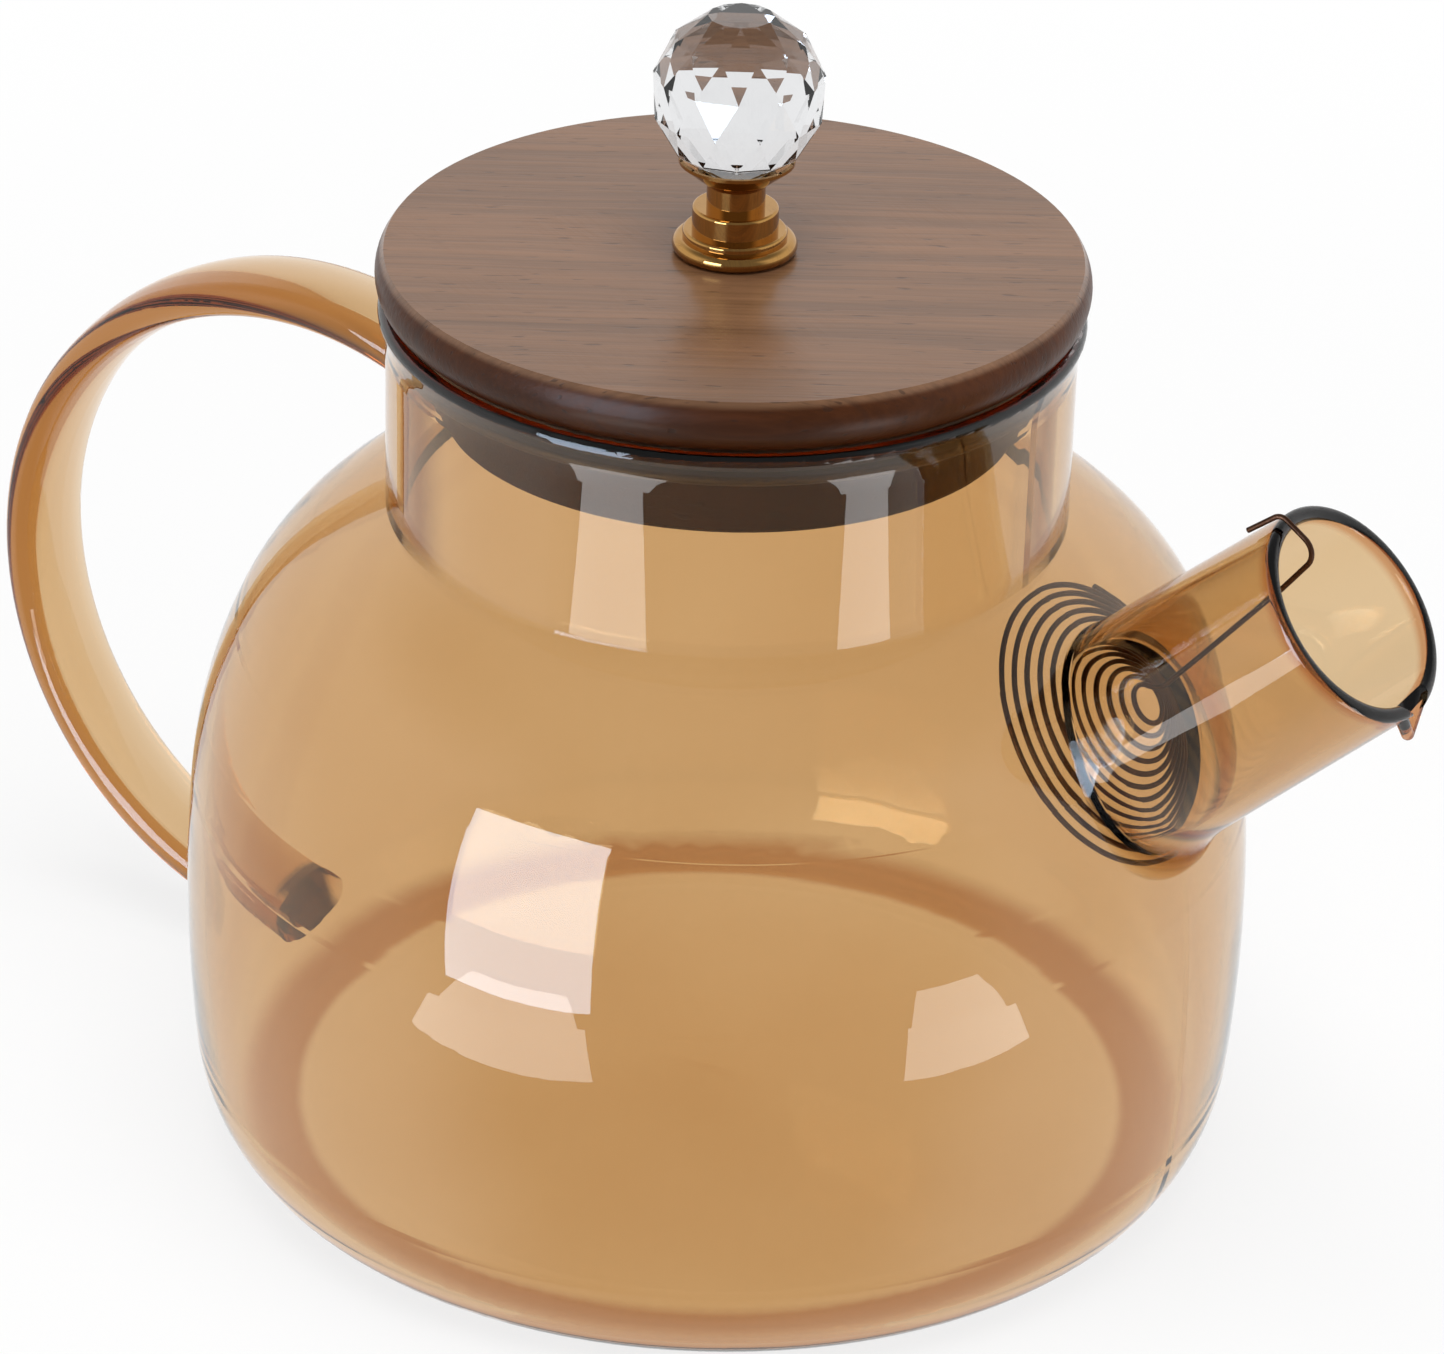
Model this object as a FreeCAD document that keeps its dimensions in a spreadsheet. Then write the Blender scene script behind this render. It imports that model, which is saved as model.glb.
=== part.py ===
import FreeCAD
import Part
import math
import os
import re

import Sketcher
from FreeCAD import Placement, Rotation, Vector

# Glass teapot: a blown vessel with a welded spout and strap handle, a turned wooden lid
# with a cut crystal knob, and a wire strainer clipped in the spout.
# Origin at the centre of the foot, +Z up, spout along +X, handle along -X, millimetres.

SIZES = {
    # blown vessel, measured on its outside
    "wall": 2.4,
    "foot_ring": 58.0,
    "foot_edge": 68.1,
    "foot_dimple": 1.6,
    "floor_middle": 3.4,
    "corner_round": 7.5,
    "corner_turn": 53.5,
    "heel_round": 22.4,
    "heel_turn": 31.5,
    "side_round": 243.0,
    "side_turn": 10.1,
    "shoulder_round": 70.8,
    "shoulder_turn": 20.4,
    "crown_round": 40.0,
    "neck_radius": 49.7,
    "rim_height": 133.1,
    "flare_round": 14.0,
    "flare_turn": 22.0,
    # spout, along its own axis from a root inside the vessel to the mouth
    "mouth_reach": 100.2,
    "mouth_height": 112.1,
    "spout_rise": 43.2,
    "spout_length": 58.0,
    "mouth_radius": 16.4,
    "lip_round": 1.1,
    "root_radius": 17.1,
    "root_bore": 15.4,
    "weld_radius": 19.6,
    "weld_top": 10.5,
    "tube_start": 21.0,
    "beak_out": 9.2,
    "beak_drop": 16.45,
    "beak_open": 36.5,
    "beak_tall": 4.9,
    "beak_bead": 0.95,
    "beak_skin": 0.6,
    "beak_crease": 1.0,
    # strap handle: its centre line leaves the neck upwards and comes round to the heel
    "strap_sunk": 4.5,
    "strap_start": 108.0,
    "strap_lift": 31.0,
    "strap_top_round": 51.6,
    "strap_top_turn": 71.0,
    "strap_back_round": 54.4,
    "strap_back_turn": 72.0,
    "strap_low_round": 52.9,
    "strap_low_turn": 66.0,
    "strap_half": 7.9,
    "strap_edge": 2.8,
    "strap_crown": 22.5,
    # wire strainer in the spout, measured back from the mouth
    "wire": 0.8,
    "coil_turns": 12,
    "coil_wide": 21.8,
    "coil_narrow": 2.4,
    "coil_depth": 52.3,
    "coil_tall": 11.0,
    "coil_lift": 4.3,
    "coil_aside": 5.2,
    "coil_tilt": 4.5,
    "coil_start": 45.0,
    "tail_bend": 1.7,
    "tail_depth": 9.0,
    "tail_lift": 7.7,
    "tail_aside": 1.7,
    "bulge_lift": 9.6,
    "bulge_aside": 2.4,
    "bulge_reach": 2.0,
    "hook_clear": 0.5,
    "hook_round": 10.0,
    "hook_bend": 1.5,
    "hook_leg": 6.0,
    # wooden lid
    "lid_top": 141.0,
    "lid_thick": 8.0,
    "lid_radius": 51.2,
    "lid_round": 5.2,
    "lid_drop": 3.4,
    "plug_radius": 41.5,
    "plug_depth": 15.9,
    "plug_edge": 0.8,
    "screw_hole": 2.2,
    "recess_radius": 4.2,
    "recess_depth": 3.6,
    # seal ring in its groove round the plug
    "groove_depth": 0.9,
    "groove_drop": 0.8,
    "groove_tall": 5.0,
    "seal_slack": 0.05,
    "seal_core": 44.4,
    "seal_lip": 47.05,
    "lip_tall": 1.5,
    # knob: plated base, crystal and fixing screw
    "flange_radius": 9.0,
    "flange_tall": 2.4,
    "step_radius": 7.5,
    "step_tall": 3.5,
    "drum_radius": 6.2,
    "drum_tall": 7.0,
    "stem_radius": 4.2,
    "stem_tall": 10.4,
    "cup_radius": 8.3,
    "cup_tall": 14.3,
    "cup_wall": 0.5,
    "knob_edge": 0.45,
    "seat_tall": 12.6,
    "seat_radius": 5.6,
    "thread_radius": 2.0,
    "thread_deep": 9.5,
    "crystal_radius": 12.5,
    "crystal_centre": 24.2,
    "crystal_columns": 12,
    "crystal_bands": 5,
    "table_angle": 22.0,
    "shank_radius": 1.95,
    "shank_reach": 9.0,
    "head_radius": 3.8,
    "head_tall": 2.6,
}

WORDS = re.compile(r"[a-z]+(?:_[a-z]+)*")
PLAIN_WORDS = ("sin", "cos", "tan", "asin", "sqrt", "deg")
WELD_SWELLS = ((0.0, 1.2), (0.08, 1.06), (0.17, 1.0))
LEAST_GAP = 0.4

doc = FreeCAD.newDocument("Teapot")


def make_sheet():
    """Put every driving size in a cell with its name as the alias."""
    sheet = doc.addObject("Spreadsheet::Sheet", "Sizes")
    for row, (name, size) in enumerate(SIZES.items(), start=1):
        sheet.set(f"A{row}", name)
        sheet.set(f"B{row}", str(size))
        sheet.setAlias(f"B{row}", name)
    doc.recompute()
    return sheet


sizes = make_sheet()


def bound(formula):
    """The formula with each size's name turned into a reference to its cell."""
    def cell(match):
        word = match.group()
        return word if word in PLAIN_WORDS else "Sizes." + word
    return WORDS.sub(cell, formula)


def number(formula):
    """What a formula of sizes comes to."""
    result = sizes.evalExpression(bound(formula))
    return float(getattr(result, "Value", result))


def flat_sketch(body, name):
    """A sketch on the body's upright plane, with X across and Z up."""
    sketch = body.newObject("Sketcher::SketchObject", name)
    plane = next(item for item in body.Origin.OriginFeatures if item.Role == "XZ_Plane")
    sketch.AttachmentSupport = (plane, [""])
    sketch.MapMode = "FlatFace"
    return sketch


def cross_sketch(body, name, path, edge, along):
    """A sketch square to an edge of a path, at a share of the edge's length."""
    sketch = body.newObject("Sketcher::SketchObject", name)
    sketch.AttachmentSupport = [(path, edge)]
    sketch.MapMode = "NormalToEdge"
    sketch.MapPathParameter = along
    return sketch


class Outline:
    """A chain of lines and arcs in a sketch, drawn from point to point.

    Sizes are formulas of the sheet's names, and each becomes a bound constraint.
    """

    def __init__(self, sketch, x, y):
        self.sketch = sketch
        self.start = (x, y)
        self.point = Vector(number(x), number(y), 0)
        self.heading = 0.0
        self.last = None
        self.first = None

    def add(self, kind, *numbers, formula=None):
        index = self.sketch.addConstraint(Sketcher.Constraint(kind, *numbers))
        if formula is not None:
            self.sketch.setExpression(f"Constraints[{index}]", bound(formula))

    def pin(self, piece, end, x=None, y=None):
        """Hold one point of a piece at x and y from the origin, where they are given."""
        if x == "0":
            self.add("PointOnObject", piece, end, -2)
        elif x is not None:
            self.add("DistanceX", -1, 1, piece, end, number(x), formula=x)
        if y == "0":
            self.add("PointOnObject", piece, end, -1)
        elif y is not None:
            self.add("DistanceY", -1, 1, piece, end, number(y), formula=y)

    def join(self, piece, end, kind="Coincident"):
        """Start a piece where the last one stopped."""
        if self.last is None:
            self.pin(piece, end, *self.start)
            self.first = (piece, end)
        else:
            self.add(kind, *self.last, piece, end)

    def line(self, stop):
        piece = self.sketch.addGeometry(Part.LineSegment(self.point, stop))
        self.join(piece, 1)
        run = stop - self.point
        self.heading = math.atan2(run.y, run.x)
        self.point = stop
        self.last = (piece, 2)
        return piece

    def line_to(self, x, y):
        piece = self.line(Vector(number(x), number(y), 0))
        self.pin(piece, 2, x, y)

    def curve(self, radius, sweep):
        """Draw an arc that leaves along the heading, to the left for a positive sweep."""
        side = math.copysign(1.0, sweep)
        to_centre = Vector(-math.sin(self.heading), math.cos(self.heading), 0) * (side * radius)
        centre = self.point + to_centre
        begin = math.atan2(-to_centre.y, -to_centre.x)
        finish = begin + sweep
        circle = Part.Circle(centre, Vector(0, 0, 1), radius)
        piece = self.sketch.addGeometry(Part.ArcOfCircle(circle, min(begin, finish), max(begin, finish)))
        self.heading += sweep
        self.point = centre + Vector(math.cos(finish), math.sin(finish), 0) * radius
        return piece, (1, 2) if side > 0 else (2, 1)

    def arc(self, radius, turn, left=True):
        """An arc of a radius and a turn in degrees, tangent to what came before."""
        sweep = math.radians(number(turn))
        piece, (begin, finish) = self.curve(number(radius), sweep if left else -sweep)
        self.join(piece, begin, "Tangent")
        self.add("Radius", piece, number(radius), formula=radius)
        self.add("Angle", piece, sweep, formula=turn)
        self.last = (piece, finish)

    def arc_to_x(self, radius, x):
        """A left arc, tangent to what came before, that comes back over its top to x."""
        centre_x = self.point.x - number(radius) * math.sin(self.heading)
        stop = math.pi - math.asin((number(x) - centre_x) / number(radius))
        piece, (begin, finish) = self.curve(number(radius), stop - self.heading)
        self.join(piece, begin, "Tangent")
        self.add("Radius", piece, number(radius), formula=radius)
        self.pin(piece, finish, x=x)
        self.last = (piece, finish)

    def arc_about(self, centre, turn=None, stop_y=None, left=True):
        """An arc about a centre, through a turn in degrees or up to a height."""
        middle = Vector(number(centre[0]), number(centre[1]), 0)
        out = self.point - middle
        begin = math.atan2(out.y, out.x)
        self.heading = begin + math.copysign(math.pi / 2, 1 if left else -1)
        if turn is None:
            rise = math.asin((number(stop_y) - middle.y) / out.Length)
            finish = rise if out.x > 0 else math.pi - rise
            sweep = finish - begin if out.x > 0 else (finish - begin) % (-2 * math.pi)
        else:
            sweep = math.radians(number(turn)) * (1 if left else -1)
        piece, (start, end) = self.curve(out.Length, sweep)
        self.join(piece, start)
        self.pin(piece, 3, *centre)
        if turn is None:
            self.pin(piece, end, y=stop_y)
        else:
            self.add("Angle", piece, abs(sweep), formula=turn)
        self.last = (piece, end)

    def close(self):
        """Run straight back to the first point."""
        piece = self.line(Vector(number(self.start[0]), number(self.start[1]), 0))
        self.add("Coincident", piece, 2, *self.first)
        return self.sketch

    def close_round(self, radius, turn):
        """Close with a tangent left arc that the first point ends."""
        piece, (begin, finish) = self.curve(number(radius), math.radians(number(turn)))
        self.join(piece, begin, "Tangent")
        self.add("Coincident", piece, finish, *self.first)
        return self.sketch


def new_body(name):
    return doc.addObject("PartDesign::Body", name)


def revolve(body, sketch):
    """Turn a closed outline about the body's own Z axis."""
    turned = body.newObject("PartDesign::Revolution", sketch.Name + "_turned")
    turned.Profile = sketch
    turned.ReferenceAxis = (sketch, ["V_Axis"])
    turned.Angle = 360.0
    return body


def combine(kind, name, base, tool):
    """A boolean of two objects: Cut or Fuse."""
    result = doc.addObject("Part::" + kind, name)
    result.Base = base
    result.Tool = tool
    return result


def place(item, x, z, tilt):
    """Move an object in the plane of the spout and tilt it about Y."""
    item.Placement = Placement(Vector(), Rotation(Vector(0, 1, 0), 1.0))
    item.setExpression("Placement.Base.x", bound(x))
    item.setExpression("Placement.Base.z", bound(z))
    item.setExpression("Placement.Rotation.Angle", bound(tilt))
    return item


# Vessel

FLARE_START = "rim_height - flare_round * sin(flare_turn) - wall / 2 * (1 + sin(flare_turn))"
RIM_MIDDLE = "neck_radius + flare_round * (1 - cos(flare_turn)) - wall / 2 * cos(flare_turn)"


def belly(outline, inset):
    """The tangent arcs from the foot up to the neck, drawn in by an inset."""
    outline.arc(f"corner_round - {inset}", "corner_turn")
    outline.arc(f"heel_round - {inset}", "heel_turn")
    outline.arc(f"side_round - {inset}", "side_turn")
    outline.arc(f"shoulder_round - {inset}", "shoulder_turn")
    outline.arc_to_x(f"crown_round - {inset}", f"neck_radius - {inset}")


def vessel_outside():
    """The vessel as one full solid, closed across its rim."""
    body = new_body("vessel_outside")
    outline = Outline(flat_sketch(body, "outside_outline"), "0", "foot_dimple")
    outline.line_to("foot_ring", "0")
    outline.line_to("foot_edge", "0")
    belly(outline, "0")
    outline.line_to("neck_radius", FLARE_START)
    outline.arc("flare_round", "flare_turn", left=False)
    outline.arc("wall / 2", "90 + flare_turn")
    outline.line_to("0", "rim_height")
    return revolve(body, outline.close())


def vessel_inside():
    """The space inside the vessel, carried up past its rim."""
    body = new_body("vessel_inside")
    outline = Outline(flat_sketch(body, "inside_outline"), "0", "foot_dimple + floor_middle")
    outline.line_to("foot_ring", "wall")
    outline.line_to("foot_edge", "wall")
    belly(outline, "wall")
    outline.line_to("neck_radius - wall", FLARE_START)
    outline.arc("flare_round + wall", "flare_turn", left=False)
    outline.arc("wall / 2", "90 - flare_turn", left=False)
    outline.line_to(RIM_MIDDLE, "rim_height + wall")
    outline.line_to("0", "rim_height + wall")
    return revolve(body, outline.close())


def along_spout(item):
    """Stand an object on the spout's root, its Z axis towards the mouth, X to the beak."""
    return place(
        item,
        "mouth_reach - spout_length * cos(spout_rise)",
        "mouth_height - spout_length * sin(spout_rise)",
        "90 - spout_rise",
    )


def spout_hole():
    hole = along_spout(doc.addObject("Part::Cylinder", "spout_hole"))
    hole.setExpression("Radius", bound("root_bore"))
    hole.setExpression("Height", bound("spout_length"))
    return hole


def glass_vessel(outside):
    shell = combine("Cut", "vessel_shell", outside, vessel_inside())
    return combine("Cut", "glass_vessel", shell, spout_hole())


# Spout

WELD_SPREAD = "(weld_radius - root_radius)"
WELD_RISE = "(tube_start - weld_top)"
WELD_ROUND = f"({WELD_SPREAD}^2 + {WELD_RISE}^2) / (2 * {WELD_SPREAD})"


def spout_outside():
    """Tube with a spread foot for the weld and a rounded lip, as a full solid."""
    body = along_spout(new_body("spout_outside"))
    outline = Outline(flat_sketch(body, "tube_outline"), "0", "0")
    outline.line_to("weld_radius", "0")
    outline.line_to("weld_radius", "weld_top")
    outline.arc_about((f"root_radius + {WELD_ROUND}", "tube_start"), stop_y="tube_start", left=False)
    outline.line_to("mouth_radius", "spout_length - lip_round")
    outline.arc_about(("mouth_radius - lip_round", "spout_length - lip_round"), turn="90")
    outline.line_to("0", "spout_length")
    return revolve(body, outline.close())


def spout_inside():
    """The bore, opening over the lip."""
    body = along_spout(new_body("spout_inside"))
    outline = Outline(flat_sketch(body, "bore_outline"), "0", "0")
    outline.line_to("root_bore", "0")
    outline.line_to("mouth_radius - 2 * lip_round", "spout_length - lip_round")
    outline.arc_about(("mouth_radius - lip_round", "spout_length - lip_round"), turn="90", left=False)
    outline.line_to("mouth_radius - lip_round", "spout_length + lip_round")
    outline.line_to("0", "spout_length + lip_round")
    return revolve(body, outline.close())


def at_beak(item, rise, turn):
    """Stand an object above the beak's tip and turn it about the spout's own direction."""
    item.Placement = Placement(Vector(), Rotation(Vector(1, 0, 0), 1.0))
    item.setExpression("Placement.Base.x", bound("mouth_reach + beak_out"))
    item.setExpression("Placement.Base.z", bound(f"mouth_height - beak_drop + {rise}"))
    item.setExpression("Placement.Rotation.Angle", bound(turn))
    return item


def beak_back():
    """The half cone behind the pinched lip, tip down and open outwards."""
    cone = doc.addObject("Part::Cone", "beak_back")
    cone.Placement.Rotation = Rotation(Vector(0, 0, 1), 90)
    cone.setExpression("Placement.Base.x", bound("mouth_reach + beak_out"))
    cone.setExpression("Placement.Base.z", bound("mouth_height - beak_drop"))
    cone.setExpression("Radius1", bound("beak_skin"))
    cone.setExpression("Radius2", bound("beak_skin + beak_tall * tan(beak_open)"))
    cone.setExpression("Height", bound("beak_tall"))
    cone.Angle = 180
    return cone


def beak_bead(side, turn):
    """One edge of the pinched lip: a round bead from the tip up to the mouth's own bead."""
    bead = at_beak(doc.addObject("Part::Cylinder", f"beak_bead_{side}"), "0", turn)
    bead.setExpression("Radius", bound("beak_bead"))
    bead.setExpression("Height", bound("beak_tall / cos(beak_open)"))
    return bead


def beak_tip():
    """The drop of glass at the tip, where the two edges meet."""
    tip = at_beak(doc.addObject("Part::Sphere", "beak_tip"), "0", "0")
    tip.setExpression("Radius", bound("beak_bead"))
    return tip


def beak_channel():
    """The groove between the edges, from a crease above the tip to past the mouth."""
    cone = at_beak(doc.addObject("Part::Cone", "beak_channel"), "beak_crease", "0")
    cone.Radius1 = 0.0
    cone.setExpression("Radius2", bound("1.5 * beak_tall * tan(beak_open)"))
    cone.setExpression("Height", bound("1.5 * beak_tall"))
    return cone


def glass_spout(outside):
    solid = spout_outside()
    for piece in (beak_back(), beak_bead("near", "beak_open"), beak_bead("far", "-beak_open"), beak_tip()):
        solid = combine("Fuse", f"spout_and_{piece.Name}", solid, piece)
    space = combine("Fuse", "spout_space", spout_inside(), beak_channel())
    tube = combine("Cut", "spout_tube", solid, space)
    return combine("Cut", "glass_spout", tube, outside)


# Handle

def strap_path(body):
    """The handle's centre line: three tangent arcs."""
    start = "strap_sunk - neck_radius"
    centre = (
        f"{start} - strap_top_round * sin(strap_lift)",
        "strap_start - strap_top_round * cos(strap_lift)",
    )
    route = Outline(flat_sketch(body, "strap_path"), start, "strap_start")
    route.arc_about(centre, turn="strap_top_turn")
    route.arc("strap_back_round", "strap_back_turn")
    route.arc("strap_low_round", "strap_low_turn")
    return route.sketch


def strap_oval(sketch, swell):
    """The bar's section: two crowned faces and two round edges, tangent all round."""
    lean = "asin((strap_half - strap_edge) / (strap_crown - strap_edge))"
    low = f"{swell} * ((strap_crown - strap_edge) * cos({lean}) - strap_crown)"
    crown = f"{swell} * strap_crown"
    edge = f"{swell} * strap_edge"
    outline = Outline(sketch, "0", low)
    outline.arc_about(("0", f"{low} + {crown}"), turn=lean)
    outline.arc(edge, f"180 deg - 2 * {lean}")
    outline.arc(crown, f"2 * {lean}")
    outline.arc(edge, f"180 deg - 2 * {lean}")
    return outline.close_round(crown, lean)


def weld_end(body, path, name, edge, backwards):
    """A swelling bar end, lofted through sections that grow towards the wall."""
    sections = []
    for step, (along, swell) in enumerate(WELD_SWELLS):
        place_on_edge = 1.0 - along if backwards else along
        sketch = cross_sketch(body, f"{name}_{step}", path, edge, place_on_edge)
        sections.append(strap_oval(sketch, swell))
    loft = body.newObject("PartDesign::AdditiveLoft", name)
    loft.Profile = sections[0]
    loft.Sections = sections[1:]
    return loft


def glass_handle(outside):
    body = new_body("strap_bar")
    path = strap_path(body)
    doc.recompute()
    bar = body.newObject("PartDesign::AdditivePipe", "strap_pipe")
    bar.Profile = strap_oval(cross_sketch(body, "strap_section", path, "Edge1", 0.0), 1.0)
    bar.Spine = (path, ["Edge1", "Edge2", "Edge3"])
    doc.recompute()
    weld_end(body, path, "upper_weld", "Edge1", backwards=False)
    weld_end(body, path, "lower_weld", "Edge3", backwards=True)
    return combine("Cut", "glass_handle", body, outside)


# Strainer

def mouth_frame():
    """The mouth's centre, the way out of it, and the way up to the top of its lip."""
    rise = math.radians(number("spout_rise"))
    out = Vector(math.cos(rise), 0, math.sin(rise))
    up = Vector(-math.sin(rise), 0, math.cos(rise))
    return Vector(number("mouth_reach"), 0, number("mouth_height")), out, up


def at_mouth(lift, aside, reach):
    """A point from the mouth's centre: up across the mouth, to the far side, and outwards."""
    centre, out, up = mouth_frame()
    return centre + up * lift + Vector(0, 1, 0) * aside + out * reach


def on_lip(radius, reach):
    """A point at the place on the lip where the clip sits."""
    turn = math.radians(number("hook_round"))
    return at_mouth(radius * math.cos(turn), -radius * math.sin(turn), reach)


def arc_edge(begin, corner, finish):
    """The arc that leaves begin towards corner and arrives at finish from it."""
    middle = (begin + finish) * 0.5
    reach = corner - middle
    half = (finish - begin).Length / 2
    rise = half * math.tan(math.atan2(reach.Length, half) / 2)
    return Part.Arc(begin, middle + reach.normalize() * rise, finish).toShape()


def biarc(begin, begin_way, finish, finish_way):
    """Two tangent arcs between two points, with the ways the curve runs there."""
    gap = finish - begin
    sum_way = begin_way + finish_way
    spread = 2 * (1 - begin_way.dot(finish_way))
    across = gap.dot(sum_way)
    reach = (math.sqrt(across ** 2 + spread * gap.dot(gap)) - across) / spread
    first_corner = begin + begin_way * reach
    second_corner = finish - finish_way * reach
    meeting = (first_corner + second_corner) * 0.5
    return [arc_edge(begin, first_corner, meeting), arc_edge(meeting, second_corner, finish)]


def coil_point(turn):
    """Where the cone-shaped spiral is after so many turns from its wide end, and its way."""
    _, out, up = mouth_frame()
    tilt = math.radians(number("coil_tilt"))
    axis = out * math.cos(tilt) - up * math.sin(tilt)
    top = up * math.cos(tilt) + out * math.sin(tilt)
    centre = at_mouth(number("coil_lift"), number("coil_aside"), -number("coil_depth"))
    shrink = (number("coil_narrow") - number("coil_wide")) / number("coil_turns")
    climb = number("coil_tall") / number("coil_turns")
    radius = number("coil_wide") + shrink * turn
    angle = 2 * math.pi * turn + math.radians(number("coil_start"))
    outwards = top * math.cos(angle) + Vector(0, 1, 0) * math.sin(angle)
    around = Vector(0, 1, 0) * math.cos(angle) - top * math.sin(angle)
    point = centre + axis * (climb * turn) + outwards * radius
    way = axis * climb + outwards * shrink + around * (2 * math.pi * radius)
    return point, way.normalize()


def rounded_run(points, radii):
    """Straight runs through points, with an arc of a given radius at each inner point."""
    edges = []
    here = points[0]
    for before, corner, after, radius in zip(points, points[1:], points[2:], radii):
        back = (before - corner).normalize()
        ahead = (after - corner).normalize()
        cut = radius / math.tan(back.getAngle(ahead) / 2)
        edges.append(Part.makeLine(here, corner + back * cut))
        edges.append(arc_edge(corner + back * cut, corner, corner + ahead * cut))
        here = corner + ahead * cut
    edges.append(Part.makeLine(here, points[-1]))
    return edges


def strainer_path():
    """Spiral in half turns, then the tail up the bore and the clip over the lip."""
    edges = []
    half_turns = round(2 * number("coil_turns"))
    for half in range(half_turns):
        edges += biarc(*coil_point(half / 2), *coil_point((half + 1) / 2))
    apex, apex_way = coil_point(half_turns / 2)
    bend = number("tail_bend")
    hook = number("hook_bend")
    over = number("wire / 2 + hook_clear")
    leg = number("mouth_radius") + over
    run = [
        apex,
        apex + apex_way * (1.1 * bend),
        at_mouth(number("tail_lift"), -number("tail_aside"), -number("tail_depth")),
        at_mouth(number("bulge_lift"), -number("bulge_aside"), number("bulge_reach")),
        on_lip(leg, over),
        on_lip(leg + number("hook_clear"), over - number("hook_leg")),
    ]
    return edges + rounded_run(run, [bend, 4 * bend, 2 * hook, hook])


def least_gap(edges):
    """The least clear distance between stretches of the wire that aren't neighbours."""
    step = number("wire") / 2
    points = []
    travelled = 0.0
    for edge in edges:
        count = max(2, round(edge.Length / step))
        for share, point in enumerate(edge.discretize(count + 1)[:-1]):
            points.append((travelled + edge.Length * share / count, point))
        travelled += edge.Length
    near = 4 * number("wire")
    clear = min(
        first.distanceToPoint(second)
        for index, (place_on, first) in enumerate(points)
        for along, second in points[index + 1:]
        if along - place_on > near
    )
    return clear - number("wire"), travelled


def spout_strainer():
    edges = strainer_path()
    gap, length = least_gap(edges)
    start = edges[0].valueAt(edges[0].FirstParameter)
    way = edges[0].tangentAt(edges[0].FirstParameter)
    ring = Part.Wire(Part.makeCircle(number("wire") / 2, start, way))
    sweep = Part.BRepOffsetAPI.MakePipeShell(Part.Wire(edges))
    sweep.add(ring)
    sweep.build()
    sweep.makeSolid()
    solid = sweep.shape()
    expected = length * math.pi * (number("wire") / 2) ** 2
    print(f"strainer wire {length:.0f} mm long, least gap to itself {gap:.2f} mm")
    print(f"strainer volume {solid.Volume:.0f} of {expected:.0f} mm3")
    if gap < LEAST_GAP or abs(solid.Volume / expected - 1) > 0.02:
        raise ValueError("the strainer's turns touch or its tube is not whole")
    strainer = doc.addObject("Part::Feature", "spout_strainer")
    strainer.Shape = solid
    return strainer


# Lid

LID_UNDER = "lid_top - lid_thick"
LID_FOOT = "lid_radius - lid_round + sqrt(lid_round^2 - (lid_thick - lid_drop)^2)"
PLUG_UNDER = f"{LID_UNDER} - plug_depth"


def lid_disc():
    """Disc with a rounded side that is fullest above its middle."""
    body = new_body("lid_disc")
    outline = Outline(flat_sketch(body, "disc_outline"), "screw_hole", LID_UNDER)
    outline.line_to(LID_FOOT, LID_UNDER)
    outline.arc_about(("lid_radius - lid_round", "lid_top - lid_drop"), stop_y="lid_top")
    outline.line_to("screw_hole", "lid_top")
    return revolve(body, outline.close())


def lid_plug():
    """Plug under the disc, with a groove for the seal and a recess for the screw's head."""
    body = new_body("lid_plug")
    groove_top = f"{LID_UNDER} - groove_drop"
    groove_low = f"{groove_top} - groove_tall"
    groove = "plug_radius - groove_depth"
    outline = Outline(flat_sketch(body, "plug_outline"), "screw_hole", LID_UNDER)
    outline.line_to("screw_hole", f"{PLUG_UNDER} + recess_depth")
    outline.line_to("recess_radius", f"{PLUG_UNDER} + recess_depth")
    outline.line_to("recess_radius", PLUG_UNDER)
    outline.line_to("plug_radius - plug_edge", PLUG_UNDER)
    outline.arc_about(("plug_radius - plug_edge", f"{PLUG_UNDER} + plug_edge"), turn="90")
    outline.line_to("plug_radius", groove_low)
    outline.line_to(groove, groove_low)
    outline.line_to(groove, groove_top)
    outline.line_to("plug_radius", groove_top)
    outline.line_to("plug_radius", LID_UNDER)
    return revolve(body, outline.close())


def lid_seal():
    """Soft ring with two round lips towards the glass."""
    body = new_body("lid_seal")
    inner = "plug_radius - groove_depth + seal_slack"
    low = f"{LID_UNDER} - groove_drop - groove_tall + seal_slack"
    high = f"{LID_UNDER} - groove_drop - seal_slack"
    lip_flat = "seal_lip - lip_tall / 2"
    outline = Outline(flat_sketch(body, "seal_outline"), inner, low)
    outline.line_to(lip_flat, low)
    outline.arc_about((lip_flat, f"{low} + lip_tall / 2"), turn="180")
    outline.line_to("seal_core", f"{low} + lip_tall")
    outline.line_to("seal_core", f"{high} - lip_tall")
    outline.line_to(lip_flat, f"{high} - lip_tall")
    outline.arc_about((lip_flat, f"{high} - lip_tall / 2"), turn="180")
    outline.line_to(inner, high)
    return revolve(body, outline.close())


# Knob

def above_lid(tall):
    return f"lid_top + {tall}"


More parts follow.
